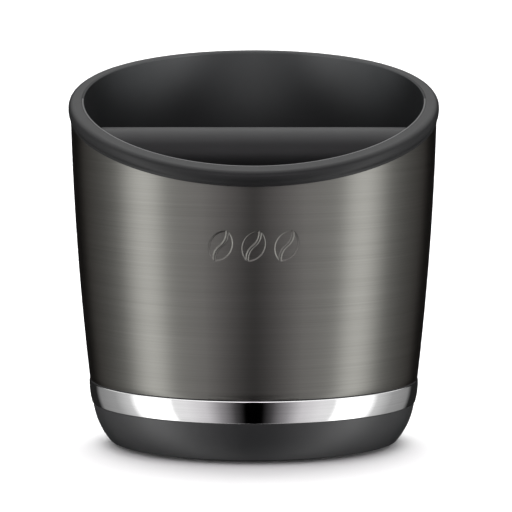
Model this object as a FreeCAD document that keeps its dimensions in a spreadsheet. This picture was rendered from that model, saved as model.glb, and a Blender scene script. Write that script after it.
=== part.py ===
import FreeCAD, Part
import math
import os

import Sketcher
from FreeCAD import Placement, Rotation, Vector

# Espresso knock box. +Z is up, the origin is the centre of the base on the surface it stands on,
# and the low side of the slanted mouth faces -Y. All sizes are in millimetres.

DRIVING = [
    # alias, value, what it is
    ("rim_r", 84.97, "outer radius of the rim"),
    ("mouth_r", 77.8, "inner radius of the mouth"),
    ("lip_r", 78.8, "outer radius of the bin's thin lip inside the rim"),
    ("arch_r", 945.0, "radius of the arched cut across the mouth, seen from the side"),
    ("arch_y", 241.4, "centre of the mouth's arch, towards the back"),
    ("arch_z", -754.7, "centre of the mouth's arch, height"),
    ("skirt_arc_r", 945.0, "radius of the arch of the rim's lower edge, seen from the side"),
    ("skirt_arc_y", 226.7, "centre of the lower edge's arch, towards the back"),
    ("skirt_arc_z", -766.3, "centre of the lower edge's arch, height"),
    ("groove_deep", 3.6, "depth of the groove that hides the sleeve's top edge"),
    ("groove_r", 82.1, "inner radius of that groove"),
    ("rim_round", 2.5, "rounding of the rim's outer top edge"),
    ("skirt_round", 0.7, "rounding of the rim's lower edge"),
    ("rim_gasket_high", 1.2, "thickness of the gasket in the rim's groove"),
    ("reach", 100.0, "half size of the cutting outlines, larger than the box"),
    ("cut_top", 200.0, "top of the cutting outlines, above the box"),
    ("cut_low", 100.0, "bottom of the cutting outlines at the rim"),
    ("turn_top", 180.0, "top of the turned rings that the arched cuts then shorten"),
    ("gap", 0.05, "fitting clearance on a radius"),
    ("sleeve_arc_r", 1379.5, "radius of the sleeve's gently barrelled side"),
    ("sleeve_arc_x", -1295.18, "centre of that arc, radius direction"),
    ("sleeve_arc_z", 185.0, "centre of that arc, height"),
    ("sleeve_low", 30.3, "bottom edge of the sleeve"),
    ("sleeve_thick", 0.8, "sheet thickness of the sleeve"),
    ("mark_z", 99.5, "height of the debossed mark's centre"),
    ("mark_deep", 0.35, "depth of the debossed mark"),
    ("mark_band", 12.0, "half height of the band that holds the mark"),
    ("bean_half_long", 7.0, "half length of a bean in the mark"),
    ("bean_outer_r", 7.8, "radius of a bean's outer edge"),
    ("bean_crease_r", 7.3, "radius of the curves in a bean's crease"),
    ("bean_crease_half", 0.55, "half width of a bean's crease"),
    ("band_inner_r", 73.2, "inner radius of the chrome band"),
    ("band_low_r", 74.7, "outer radius of the chrome band at its lower edge"),
    ("band_top_r", 75.87, "outer radius of the chrome band at its upper edge"),
    ("band_low", 19.4, "lower edge of the chrome band"),
    ("band_top", 29.7, "upper edge of the chrome band"),
    ("band_arc_r", 34.0, "radius of the chrome band's curved face"),
    ("band_bevel", 0.35, "bevel on the chrome band's edges"),
    ("seal_flange_r", 75.3, "outer radius of the seal between band and sleeve"),
    ("seal_lip_r", 74.8, "outer radius of the seal's lip inside the sleeve"),
    ("upstand_r", 73.15, "outer radius of the base cup's upstand"),
    ("upstand_inner_r", 70.95, "inner radius of the base cup's upstand"),
    ("upstand_top", 35.0, "top of the upstand and of the seal's lip"),
    ("cup_low_r", 66.4, "radius where the base cup's side would meet its underside"),
    ("cup_round", 3.2, "rounding between the base cup's side and underside"),
    ("cup_top_r", 74.2, "radius of the base cup under the chrome band"),
    ("cup_arc_r", 33.0, "radius of the base cup's rounded side"),
    ("cup_low", 1.8, "underside of the base cup above the surface"),
    ("cup_floor", 3.6, "upper face of the base cup's floor"),
    ("cup_wall_knee", 19.0, "height where the cup's inner wall turns upright"),
    ("cup_wall_low_r", 66.5, "inner radius of the cup's wall at the floor"),
    ("rib_inner_r", 47.5, "inner radius of the cup's thick fixing ring"),
    ("rib_top", 8.0, "top of the cup's thick fixing ring"),
    ("foot_inner_r", 49.5, "inner radius of the groove for the foot ring"),
    ("foot_outer_r", 58.5, "outer radius of the groove for the foot ring"),
    ("foot_roof", 3.4, "roof of the groove for the foot ring"),
    ("foot_round", 0.8, "rounding of the foot ring's lower edges"),
    ("ballast_r", 46.5, "radius of the ballast plate"),
    ("ballast_top", 8.6, "top of the ballast plate"),
    ("bin_under", 14.6, "underside of the bin's floor"),
    ("bin_floor", 17.0, "upper face of the bin's floor"),
    ("bin_floor_r", 65.0, "inner radius of the bin at its floor"),
    ("bin_straight", 117.0, "height where the bin's tapered wall turns upright"),
    ("bin_wall", 2.2, "thickness of the bin's wall"),
    ("bin_corner", 12.0, "inner rounding between the bin's wall and floor"),
    ("screw_ring_r", 54.0, "radius of the circle of base screws"),
    ("boss_r", 4.4, "radius of a screw boss"),
    ("boss_top", 16.0, "top of a screw boss, inside the bin's floor"),
    ("pilot_r", 2.0, "radius of the hole in a screw boss"),
    ("pilot_top", 14.2, "top of the hole in a screw boss"),
    ("screw_hole_r", 2.2, "radius of the screw's clearance hole"),
    ("screw_sink_r", 4.3, "radius of the recess for the screw's head"),
    ("screw_sink", 6.0, "roof of the recess for the screw's head"),
    ("washer_r", 4.1, "radius of a base screw's washer"),
    ("washer_thick", 0.5, "thickness of a base screw's washer"),
    ("screw_r", 1.95, "radius of a base screw's thread"),
    ("screw_head_r", 3.6, "radius of a base screw's head"),
    ("screw_head_low", 3.6, "underside of a base screw's head"),
    ("screw_tip", 13.8, "tip of a base screw"),
    ("bar_z", 133.2, "height of the knock bar's axis"),
    ("bar_r", 12.5, "radius of the knock bar's rubber sleeve"),
    ("bar_half", 70.4, "half length of the rubber sleeve"),
    ("bar_round", 1.0, "rounding of the rubber sleeve's ends"),
    ("core_r", 6.0, "radius of the bar's steel core"),
    ("core_half", 72.0, "half length of the bar's steel core"),
    ("tap_r", 2.5, "radius of the threaded hole in each end of the core"),
    ("tap_deep", 14.0, "depth of the threaded hole in each end of the core"),
    ("tap_spare", 1.0, "space left under the tip of an end screw"),
    ("flange_r", 12.3, "radius of an end cap's flange"),
    ("flange_thick", 1.0, "thickness of an end cap's flange"),
    ("key_half", 8.0, "half width of an end cap's key block"),
    ("key_low", 125.2, "underside of an end cap's key block"),
    ("key_top", 141.2, "top of an end cap's key block"),
    ("key_end", 76.4, "outer end of an end cap, from the centre"),
    ("key_round", 3.0, "rounding of the key block's edges"),
    ("cap_sink_r", 4.6, "radius of the recess for an end screw's head"),
    ("cap_sink_deep", 2.6, "depth of the recess for an end screw's head"),
    ("cap_screw_r", 2.45, "radius of an end screw's thread"),
    ("cap_head_r", 4.2, "radius of an end screw's head"),
    ("cap_head_thick", 2.2, "thickness of an end screw's head"),
    ("hex_r", 1.7, "corner radius of the hexagon socket in an end screw"),
    ("hex_deep", 1.6, "depth of the hexagon socket in an end screw"),
    ("seat_x", 71.7, "inner face of a bar seat, from the centre"),
    ("seat_end", 78.9, "outer end of a bar seat, inside the bin's wall"),
    ("seat_half", 12.6, "half width of a bar seat"),
    ("seat_low", 115.7, "underside of a bar seat at the wall"),
    ("seat_top", 140.2, "top of a bar seat"),
    ("slot_half", 9.95, "half width of the slot in a bar seat"),
    ("slot_low", 123.3, "bottom of the slot in a bar seat"),
    ("liner_thick", 1.6, "thickness of a slot liner"),
    ("liner_end", 76.8, "outer end of a slot liner, from the centre"),
    ("liner_top", 139.7, "top of a slot liner"),
]

BASE_SCREWS = 4
BEAN_SPACING = 14.5
BEAN_TILT = 24.0
HEX_SIDES = 6
HEX_START = 30.0
FULL_TURN = 360.0
HALF_TURN = 180.0
QUARTER_TURN = 90.0
EDGE_SAMPLES = 7
H_AXIS = -1
V_AXIS = -2
ORIGIN = (-1, 1)
START = 1
END = 2
CENTRE = 3
TOUCH = 0.01

doc = FreeCAD.newDocument("KnockBox")
sheet = doc.addObject("Spreadsheet::Sheet", "Dims")
for row, (alias, value, note) in enumerate(DRIVING, start=1):
    sheet.set("A%d" % row, note)
    sheet.set("B%d" % row, str(value))
    sheet.setAlias("B%d" % row, alias)
doc.recompute()

SIZE = {alias: float(value) for alias, value, note in DRIVING}
pieces = []


# ---- expressions for the curves that several pieces share ----

def D(alias):
    return "Dims." + alias


def sleeve_radius(height, offset="0"):
    """The sleeve's outer radius at a height, plus an offset."""
    return (
        "Dims.sleeve_arc_x + sqrt(Dims.sleeve_arc_r ^ 2 - (%s - Dims.sleeve_arc_z) ^ 2) + %s"
        % (height, offset)
    )


def arch_height(y):
    """The height of the mouth's arch at a distance towards the back."""
    return "Dims.arch_z + sqrt(Dims.arch_r ^ 2 - (%s - Dims.arch_y) ^ 2)" % y


def skirt_height(y, lift="0"):
    """The height of the rim's lower edge at a distance towards the back, plus a lift."""
    rise = "sqrt(Dims.skirt_arc_r ^ 2 - (%s - Dims.skirt_arc_y) ^ 2)" % y
    return "Dims.skirt_arc_z + %s + %s" % (lift, rise)


# ---- sketches ----

def finish_piece(obj, label, placement=None):
    obj.Label = label
    if placement is not None:
        obj.Placement = placement
    pieces.append(obj)
    return obj


def new_body(name):
    return doc.addObject("PartDesign::Body", name)


def origin_plane(body, role):
    return [item for item in body.Origin.OriginFeatures if item.Role == role][0]


def new_sketch(body, name, role, offset=None):
    """A sketch on one of the body's origin planes, moved along the plane's normal by offset."""
    sketch = body.newObject("Sketcher::SketchObject", name)
    sketch.AttachmentSupport = [(origin_plane(body, role), "")]
    sketch.MapMode = "FlatFace"
    if offset is not None:
        sketch.setExpression("AttachmentOffset.Base.z", offset)
    return sketch


def value_of(sketch, text):
    return float(sketch.evalExpression(text))


def hold_point(sketch, edge, end, x, y):
    """Holds one end of an edge at a place given by two expressions."""
    for kind, text, axis in (("DistanceX", x, V_AXIS), ("DistanceY", y, H_AXIS)):
        if text == "0":
            sketch.addConstraint(Sketcher.Constraint("PointOnObject", edge, end, axis))
            continue
        length = value_of(sketch, text)
        index = sketch.addConstraint(Sketcher.Constraint(kind, *ORIGIN, edge, end, length))
        sketch.setExpression("Constraints[%d]" % index, text)


def arc_edge(start, end, radius, side):
    """An arc from start to end that bulges to the left of the way there (side 1) or the right (-1)."""
    chord = end - start
    left = Vector(-chord.y, chord.x, 0).normalize()
    sagitta = radius - math.sqrt(radius ** 2 - (chord.Length / 2) ** 2)
    crown = (start + end) * 0.5 + left * side * sagitta
    return Part.Arc(start, crown, end)


def draw_outline(sketch, corners):
    """A closed outline. Each corner is (x, y) or (x, y, radius, side) when an arc follows it."""
    points = [Vector(value_of(sketch, c[0]), value_of(sketch, c[1]), 0) for c in corners]
    count = len(corners)
    ends = []
    for i, corner in enumerate(corners):
        start = points[i]
        end = points[(i + 1) % count]
        if len(corner) == 2:
            edge = sketch.addGeometry(Part.LineSegment(start, end))
        else:
            radius = value_of(sketch, corner[2])
            edge = sketch.addGeometry(arc_edge(start, end, radius, corner[3]))
            index = sketch.addConstraint(Sketcher.Constraint("Radius", edge, radius))
            sketch.setExpression("Constraints[%d]" % index, corner[2])
        if (sketch.getPoint(edge, START) - start).Length < TOUCH:
            ends.append((edge, START, END))
        else:
            ends.append((edge, END, START))
    for i, (edge, first, last) in enumerate(ends):
        following = ends[(i + 1) % count]
        sketch.addConstraint(Sketcher.Constraint("Coincident", edge, last, following[0], following[1]))
        hold_point(sketch, edge, first, corners[i][0], corners[i][1])


def draw_circle(sketch, x, y, radius):
    centre = Vector(value_of(sketch, x), value_of(sketch, y), 0)
    size = value_of(sketch, radius)
    edge = sketch.addGeometry(Part.Circle(centre, Vector(0, 0, 1), size))
    hold_point(sketch, edge, CENTRE, x, y)
    index = sketch.addConstraint(Sketcher.Constraint("Radius", edge, size))
    sketch.setExpression("Constraints[%d]" % index, radius)


# ---- features ----

def turn(body, name, corners, axis="V_Axis"):
    """A revolution of an outline in the XZ plane: (radius, height) corners round the Z axis."""
    sketch = new_sketch(body, name + "Outline", "XZ_Plane")
    draw_outline(sketch, corners)
    feature = body.newObject("PartDesign::Revolution", name)
    feature.Profile = sketch
    feature.ReferenceAxis = (sketch, [axis])
    feature.Angle = FULL_TURN
    doc.recompute()
    return feature


def tube(body, name, inner, outer, low, top):
    """A plain ring between two radii and two heights."""
    return turn(body, name, [(inner, low), (outer, low), (outer, top), (inner, top)])


def cut_sideways(body, name, corners):
    """Cuts an outline of the YZ plane right through the body, both ways along X."""
    sketch = new_sketch(body, name + "Outline", "YZ_Plane")
    draw_outline(sketch, corners)
    before = body.Shape.Volume
    feature = body.newObject("PartDesign::Pocket", name)
    feature.Profile = sketch
    feature.Type = "ThroughAll"
    feature.Midplane = True
    doc.recompute()
    check_cut(name, before, body)
    return feature


def check_cut(name, before, body):
    if not body.Shape.Volume < before - TOUCH:
        raise RuntimeError(name + " cut nothing")


def cut_above_arch(body, name):
    """Leaves what is under the mouth's arch."""
    front = "-" + D("reach")
    back = D("reach")
    return cut_sideways(body, name, [
        (front, arch_height(front), D("arch_r"), 1),
        (back, arch_height(back)),
        (back, D("cut_top")),
        (front, D("cut_top")),
    ])


def cut_at_skirt(body, name, limit, lift="0"):
    """Removes what lies between the lower edge's arch, lifted by lift, and a level limit."""
    front = "-" + D("reach")
    back = D("reach")
    return cut_sideways(body, name, [
        (front, skirt_height(front, lift), D("skirt_arc_r"), 1),
        (back, skirt_height(back, lift)),
        (back, limit),
        (front, limit),
    ])


def round_edges(body, name, radius, test):
    """Rounds the edges whose every point passes the test."""
    base = body.Tip
    names = []
    for number, edge in enumerate(base.Shape.Edges, start=1):
        if all(test(point) for point in edge.discretize(EDGE_SAMPLES)):
            names.append("Edge%d" % number)
    if not names:
        raise RuntimeError(name + " found no edge")
    feature = body.newObject("PartDesign::Fillet", name)
    feature.Base = (base, names)
    feature.setExpression("Radius", radius)
    doc.recompute()
    return feature


def near(a, b):
    return abs(a - b) < TOUCH


def radius_at(point):
    return math.hypot(point.x, point.y)


def drill(body, name, role, offset, x, y, radius, length, reverse):
    """Cuts a round hole from a plane at offset, along its normal or against it (reverse)."""
    sketch = new_sketch(body, name + "Circle", role, offset)
    draw_circle(sketch, x, y, radius)
    before = body.Shape.Volume
    feature = body.newObject("PartDesign::Pocket", name)
    feature.Profile = sketch
    feature.Type = "Length"
    feature.setExpression("Length", length)
    feature.Reversed = reverse
    doc.recompute()
    check_cut(name, before, body)
    return feature


def raise_outline(body, name, role, offset, corners, length):
    """Pads an outline from a plane at offset along the plane's normal."""
    sketch = new_sketch(body, name + "Outline", role, offset)
    draw_outline(sketch, corners)
    feature = body.newObject("PartDesign::Pad", name)
    feature.Profile = sketch
    feature.setExpression("Length", length)
    doc.recompute()
    return feature


def repeat_round(body, name, originals, count):
    """Repeats features round the Z axis."""
    pattern = body.newObject("PartDesign::PolarPattern", name)
    pattern.Originals = originals
    pattern.Axis = (origin_plane(body, "Z_Axis"), [""])
    pattern.Angle = FULL_TURN
    pattern.Occurrences = count
    body.Tip = pattern
    doc.recompute()
    return pattern


# ---- rim ----

def make_rim_collar():
    """The moulded rim: a ring whose top follows the arch, grooved underneath for the sleeve."""
    body = new_body("RimCollar")
    inner = D("lip_r") + " + " + D("gap")
    tube(body, "RimRing", inner, D("rim_r"), D("cut_low"), D("cut_top"))
    cut_at_skirt(body, "GrooveRoof", "0", D("groove_deep"))
    low = D("cut_low")
    top = D("turn_top")
    turn(body, "Skirt", [
        (sleeve_radius(low, "2 * " + D("gap")), low),
        (D("rim_r"), low),
        (D("rim_r"), top),
        (sleeve_radius(top, "2 * " + D("gap")), top, D("sleeve_arc_r"), 1),
    ])
    tube(body, "RimInner", inner, D("groove_r"), low, D("cut_top"))
    cut_at_skirt(body, "SkirtEdge", "0")
    cut_above_arch(body, "MouthArch")
    crest = SIZE["rim_r"] - TOUCH

    def on_top(point):
        arch = SIZE["arch_z"] + math.sqrt(SIZE["arch_r"] ** 2 - (point.y - SIZE["arch_y"]) ** 2)
        return radius_at(point) > crest and near(point.z, arch)

    def on_skirt(point):
        beside = point.y - SIZE["skirt_arc_y"]
        edge = SIZE["skirt_arc_z"] + math.sqrt(SIZE["skirt_arc_r"] ** 2 - beside ** 2)
        return radius_at(point) > crest and near(point.z, edge)

    round_edges(body, "RimRound", D("rim_round"), on_top)
    round_edges(body, "SkirtRound", D("skirt_round"), on_skirt)
    return finish_piece(body, "rim_collar")


def make_rim_gasket():
    """A thin ring at the top of the rim's groove, following its arch."""
    body = new_body("RimGasket")
    inner = D("groove_r") + " + " + D("gap")
    low = D("cut_low")
    top = D("turn_top")
    turn(body, "GasketRing", [
        (inner, low),
        (sleeve_radius(low), low, D("sleeve_arc_r"), -1),
        (sleeve_radius(top), top),
        (inner, top),
    ])
    cut_at_skirt(body, "GasketTop", D("cut_top"), D("groove_deep"))
    cut_at_skirt(body, "GasketUnder", "0", D("groove_deep") + " - " + D("rim_gasket_high"))
    return finish_piece(body, "rim_gasket")


# ---- sleeve ----

def bean_half(name, centre_x, flip):
    """One half of a debossed coffee bean, as a solid that runs out through the front."""
    sketch = doc.addObject("Sketcher::SketchObject", name + "Outline")
    side = "-" + D("bean_crease_half")
    long = D("bean_half_long")
    draw_outline(sketch, [
        (side, long, D("bean_outer_r"), -1),
        (side, "-" + long, D("bean_crease_r"), -1),
        (side, "0", D("bean_crease_r"), 1),
    ])
    turn_over = HALF_TURN if flip else 0.0
    upright = Rotation(Vector(1, 0, 0), QUARTER_TURN)
    tilt = Rotation(Vector(0, 1, 0), BEAN_TILT + turn_over)
    sketch.Placement = Placement(Vector(centre_x, 0, SIZE["mark_z"]), tilt.multiply(upright))
    solid = doc.addObject("Part::Extrusion", name)
    solid.Base = sketch
    solid.DirMode = "Normal"
    solid.Solid = True
    solid.setExpression("LengthFwd", D("reach"))
    return solid


def make_mark():
    """A generic mark of three coffee beans, as the material to take out of the sleeve."""
    halves = []
    for number in (-1, 0, 1):
        for flip in (False, True):
            name = "Bean%d%s" % (number + 2, "Right" if flip else "Left")
            halves.append(bean_half(name, number * BEAN_SPACING, flip))
    beans = doc.addObject("Part::Compound", "Beans")
    beans.Links = halves
    low = D("mark_z") + " - " + D("mark_band")
    top = D("mark_z") + " + " + D("mark_band")
    outline = doc.addObject("Sketcher::SketchObject", "MarkSkinOutline")
    draw_outline(outline, [
        (sleeve_radius("(" + low + ")", "-" + D("mark_deep")), low),
        (D("reach"), low),
        (D("reach"), top),
        (sleeve_radius("(" + top + ")", "-" + D("mark_deep")), top, D("sleeve_arc_r"), 1),
    ])
    outline.Placement = Placement(Vector(0, 0, 0), Rotation(Vector(1, 0, 0), QUARTER_TURN))
    skin = doc.addObject("Part::Revolution", "MarkSkin")
    skin.Source = outline
    skin.Axis = Vector(0, 0, 1)
    skin.Angle = FULL_TURN
    skin.Solid = True
    mark = doc.addObject("Part::Common", "Mark")
    mark.Base = beans
    mark.Tool = skin
    doc.recompute()
    return mark


def make_outer_shell():
    """The brushed steel sleeve: a thin barrelled ring, its top cut along an arch, with the mark debossed."""
    body = new_body("SleeveBody")
    low = D("sleeve_low")
    top = D("turn_top")
    thin = "-" + D("sleeve_thick")
    turn(body, "SleeveRing", [
        (sleeve_radius(low, thin), low),
        (sleeve_radius(low), low, D("sleeve_arc_r"), -1),
        (sleeve_radius(top), top),
        (sleeve_radius(top, thin), top, D("sleeve_arc_r") + " - " + D("sleeve_thick"), 1),
    ])
    cut_at_skirt(body, "SleeveTop", D("cut_top"), D("groove_deep") + " - " + D("rim_gasket_high"))
    shell = doc.addObject("Part::Cut", "OuterShell")
    shell.Base = body
    shell.Tool = make_mark()
    doc.recompute()
    return finish_piece(shell, "outer_shell")


# ---- bin ----

def make_inner_bin():
    """The moulded bin: tapered wall, floor, thin lip at the mouth, two bar seats, screw bosses."""
    body = new_body("InnerBin")
    outer = D("mouth_r") + " + " + D("bin_wall")
    floor_outer = D("bin_floor_r") + " + " + D("bin_wall")
    turn(body, "BinWall", [
        ("0", D("bin_under")),
        (floor_outer, D("bin_under")),
        (outer, D("bin_straight")),
        (outer, D("cut_top")),
        (D("mouth_r"), D("cut_top")),
        (D("mouth_r"), D("bin_straight")),
        (D("bin_floor_r"), D("bin_floor")),
        ("0", D("bin_floor")),
    ])
    cut_at_skirt(body, "BinShoulder", D("cut_top"))
    tube(body, "BinLip", D("mouth_r"), D("lip_r"), D("bin_straight"), D("cut_top"))
    cut_above_arch(body, "LipArch")

    def floor_corner(point):
        return near(point.z, SIZE["bin_floor"]) and near(radius_at(point), SIZE["bin_floor_r"])

    def under_corner(point):
        outside = SIZE["bin_floor_r"] + SIZE["bin_wall"]
        return near(point.z, SIZE["bin_under"]) and near(radius_at(point), outside)

    round_edges(body, "FloorRound", D("bin_corner"), floor_corner)
    round_edges(body, "UnderRound", D("bin_corner"), under_corner)
    half = D("seat_half")
    slot = D("slot_half")
    seat = raise_outline(body, "BarSeat", "YZ_Plane", D("seat_x"), [
        ("-" + half, D("seat_top")),
        ("-" + half, D("slot_low")),
        ("-" + slot, D("seat_low")),
        (slot, D("seat_low")),
        (half, D("slot_low")),
        (half, D("seat_top")),
        (slot, D("seat_top")),
        (slot, D("slot_low")),
        ("-" + slot, D("slot_low")),
        ("-" + slot, D("seat_top")),
    ], D("seat_end") + " - " + D("seat_x"))
    mirror = body.newObject("PartDesign::Mirrored", "OtherSeat")
    mirror.Originals = [seat]
    mirror.MirrorPlane = (origin_plane(body, "YZ_Plane"), [""])
    body.Tip = mirror
    doc.recompute()
    boss_sketch = new_sketch(body, "BossCircle", "XY_Plane", D("rib_top"))
    draw_circle(boss_sketch, D("screw_ring_r"), "0", D("boss_r"))
    boss = body.newObject("PartDesign::Pad", "Boss")
    boss.Profile = boss_sketch
    boss.setExpression("Length", D("boss_top") + " - " + D("rib_top"))
    doc.recompute()
    repeat_round(body, "Bosses", [boss], BASE_SCREWS)
    pilot = drill(body, "Pilot", "XY_Plane", D("rib_top"), D("screw_ring_r"), "0", D("pilot_r"),
                  D("pilot_top") + " - " + D("rib_top"), True)
    repeat_round(body, "Pilots", [pilot], BASE_SCREWS)
    return finish_piece(body, "inner_bin")


# ---- base ----

def make_band_seal():
    """The thin L-shaped seal that parts the sleeve from the chrome band and centres the sleeve."""
    body = new_body("BandSeal")
    turn(body, "SealSection", [
        (D("band_inner_r"), D("band_top")),
        (D("seal_flange_r"), D("band_top")),
        (D("seal_flange_r"), D("sleeve_low")),
        (D("seal_lip_r"), D("sleeve_low")),
        (D("seal_lip_r"), D("upstand_top")),
        (D("band_inner_r"), D("upstand_top")),
    ])
    return finish_piece(body, "band_seal")


def make_chrome_band():
    """The polished trim ring with a gently curved face and bevelled edges."""
    body = new_body("ChromeBand")
    bevel = D("band_bevel")
    turn(body, "BandSection", [
        (D("band_inner_r"), D("band_low")),
        (D("band_low_r") + " - " + bevel, D("band_low")),
        (D("band_low_r"), D("band_low") + " + " + bevel, D("band_arc_r"), -1),
        (D("band_top_r"), D("band_top") + " - " + bevel),
        (D("band_top_r") + " - " + bevel, D("band_top")),
        (D("band_inner_r"), D("band_top")),
    ])
    return finish_piece(body, "chrome_band")


def make_base_cup():
    """The moulded base: rounded side, upstand for the trim, groove for the foot, screw holes."""
    body = new_body("BaseCup")
    turn(body, "CupSection", [
        ("0", D("cup_low")),
        (D("foot_inner_r"), D("cup_low")),
        (D("foot_inner_r"), D("foot_roof")),
        (D("foot_outer_r"), D("foot_roof")),
        (D("foot_outer_r"), D("cup_low")),
        (D("cup_low_r"), D("cup_low"), D("cup_arc_r"), -1),
        (D("cup_top_r"), D("band_low")),
        (D("upstand_r"), D("band_low")),
        (D("upstand_r"), D("upstand_top")),
        (D("upstand_inner_r"), D("upstand_top")),
        (D("upstand_inner_r"), D("cup_wall_knee")),
        (D("cup_wall_low_r"), D("rib_top")),
        (D("rib_inner_r"), D("rib_top")),
        (D("rib_inner_r"), D("cup_floor")),
        ("0", D("cup_floor")),
    ])

    def lower_edge(point):
        return near(point.z, SIZE["cup_low"]) and near(radius_at(point), SIZE["cup_low_r"])

    round_edges(body, "LowerRound", D("cup_round"), lower_edge)
    sink = drill(body, "ScrewSink", "XY_Plane", D("foot_roof"), D("screw_ring_r"), "0",
                 D("screw_sink_r"), D("screw_sink") + " - " + D("foot_roof"), True)
    repeat_round(body, "ScrewSinks", [sink], BASE_SCREWS)
    hole = drill(body, "ScrewHole", "XY_Plane", D("foot_roof"), D("screw_ring_r"), "0",
                 D("screw_hole_r"), D("rib_top") + " - " + D("foot_roof"), True)
    repeat_round(body, "ScrewHoles", [hole], BASE_SCREWS)
    return finish_piece(body, "base_cup")


def make_foot_ring():
    """The soft ring the box stands on."""
    body = new_body("FootRing")
    tube(body, "FootSection", D("foot_inner_r") + " + " + D("gap"),
         D("foot_outer_r") + " - " + D("gap"), "0", D("foot_roof"))
    round_edges(body, "FootRound", D("foot_round"), lambda point: near(point.z, 0))
    return finish_piece(body, "foot_ring")


def make_ballast_plate():
    body = new_body("BallastPlate")
    turn(body, "PlateSection", [
        ("0", D("cup_floor")),
        (D("ballast_r"), D("cup_floor")),
        (D("ballast_r"), D("ballast_top")),
        ("0", D("ballast_top")),
    ])
    return finish_piece(body, "ballast_plate")


def make_damping_pad():
    body = new_body("DampingPad")
    turn(body, "PadSection", [
        ("0", D("ballast_top")),
        (D("ballast_r"), D("ballast_top")),
        (D("ballast_r"), D("bin_under")),
        ("0", D("bin_under")),
    ])
    return finish_piece(body, "damping_pad")


def cylinder(name, radius, low, top):
    """An upright cylinder on the Z axis between two heights."""
    solid = doc.addObject("Part::Cylinder", name)
    solid.setExpression("Radius", radius)
    solid.setExpression("Height", top + " - (" + low + ")")
    solid.setExpression("Placement.Base.z", low)
    return solid


def ring_of(label, name, maker):
    """Four copies of what maker builds, on the circle of base screws, in one node."""
    copies = []
    for number in range(BASE_SCREWS):
        angle = math.radians(FULL_TURN / BASE_SCREWS * number)
        copy = maker("%s%d" % (name, number + 1))
        spot = Vector(math.cos(angle), math.sin(angle), 0) * SIZE["screw_ring_r"]
        copy.Placement = Placement(spot, Rotation())
        copies.append(copy)
    group = doc.addObject("Part::Compound", name + "Group")
    group.Links = copies
    doc.recompute()
    return finish_piece(group, label)


def make_washer(name):
    low = D("screw_sink") + " - " + D("washer_thick")
    cut = doc.addObject("Part::Cut", name)
    cut.Base = cylinder(name + "Disc", D("washer_r"), low, D("screw_sink"))
    cut.Tool = cylinder(name + "Bore", D("screw_hole_r"), low, D("screw_sink"))
    return cut


def make_base_screw(name):
    head_top = D("screw_sink") + " - " + D("washer_thick")
    fused = doc.addObject("Part::Fuse", name)
    fused.Base = cylinder(name + "Head", D("screw_head_r"), D("screw_head_low"), head_top)
    fused.Tool = cylinder(name + "Shank", D("screw_r"), head_top, D("screw_tip"))
    return fused


# ---- knock bar ----

def along_x(body, name, corners):
    """A revolution round the X axis, then raised to the bar's height by the body's placement."""
    return turn(body, name, corners, "H_Axis")


def bar_placement(turned=False):
    half_turn = Rotation(Vector(0, 0, 1), HALF_TURN if turned else 0.0)
    return Placement(Vector(0, 0, SIZE["bar_z"]), half_turn)


def make_bar_core():
    """The steel rod, with a threaded hole in each end."""
    body = new_body("BarCore")
    half = D("core_half")
    along_x(body, "CoreRod", [
        ("-" + half, "0"),
        (half, "0"),
        (half, D("core_r")),
        ("-" + half, D("core_r")),
    ])
    drill(body, "TapRight", "YZ_Plane", half, "0", "0", D("tap_r"), D("tap_deep"), False)
    drill(body, "TapLeft", "YZ_Plane", "-" + half, "0", "0", D("tap_r"), D("tap_deep"), True)
    return finish_piece(body, "knock_bar_core", bar_placement())


def make_bar_sleeve():
    """The thick rubber sleeve that takes the blows."""
    body = new_body("BarSleeve")
    half = D("bar_half")
    bore = D("core_r") + " + " + D("gap")
    along_x(body, "SleeveTube", [
        ("-" + half, bore),
        (half, bore),
        (half, D("bar_r")),
        ("-" + half, D("bar_r")),
    ])

    def end_edge(point):
        at_end = near(abs(point.x), SIZE["bar_half"])
        return at_end and near(math.hypot(point.y, point.z), SIZE["bar_r"])

    round_edges(body, "SleeveRound", D("bar_round"), end_edge)
    return finish_piece(body, "knock_bar_sleeve", bar_placement())


def make_end_cap(label, turned):
    """A round flange and a key block that drops into the seat, screwed to the core."""
    body = new_body("EndCap" + ("Left" if turned else "Right"))
    flange_sketch = new_sketch(body, "FlangeCircle", "YZ_Plane", D("bar_half"))
    draw_circle(flange_sketch, "0", "0", D("flange_r"))
    flange = body.newObject("PartDesign::Pad", "Flange")
    flange.Profile = flange_sketch
    flange.setExpression("Length", D("flange_thick"))
    doc.recompute()
    half = D("key_half")
    low = D("key_low") + " - " + D("bar_z")
    top = D("key_top") + " - " + D("bar_z")
    raise_outline(body, "KeyBlock", "YZ_Plane", D("bar_half"), [
        ("-" + half, low),
        (half, low),
        (half, top),
        ("-" + half, top),
    ], D("key_end") + " - " + D("bar_half"))
    flange_face = SIZE["bar_half"] + SIZE["flange_thick"]

    def key_edge(point):
        beyond = point.x > flange_face - TOUCH and near(abs(point.y), SIZE["key_half"])
        at_top = near(point.z, SIZE["key_top"] - SIZE["bar_z"])
        return beyond and (at_top or near(point.z, SIZE["key_low"] - SIZE["bar_z"]))

    round_edges(body, "KeyRound", D("key_round"), key_edge)
    bore = D("core_r") + " + " + D("gap")
    drill(body, "Socket", "YZ_Plane", D("core_half"), "0", "0", bore,
          D("core_half") + " - " + D("bar_half"), False)
    drill(body, "HeadSink", "YZ_Plane", D("key_end"), "0", "0", D("cap_sink_r"),
          D("cap_sink_deep"), False)
    drill(body, "ScrewWay", "YZ_Plane", D("key_end"), "0", "0", D("tap_r"),
          D("key_end") + " - " + D("core_half"), False)
    return finish_piece(body, label, bar_placement(turned))


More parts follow.
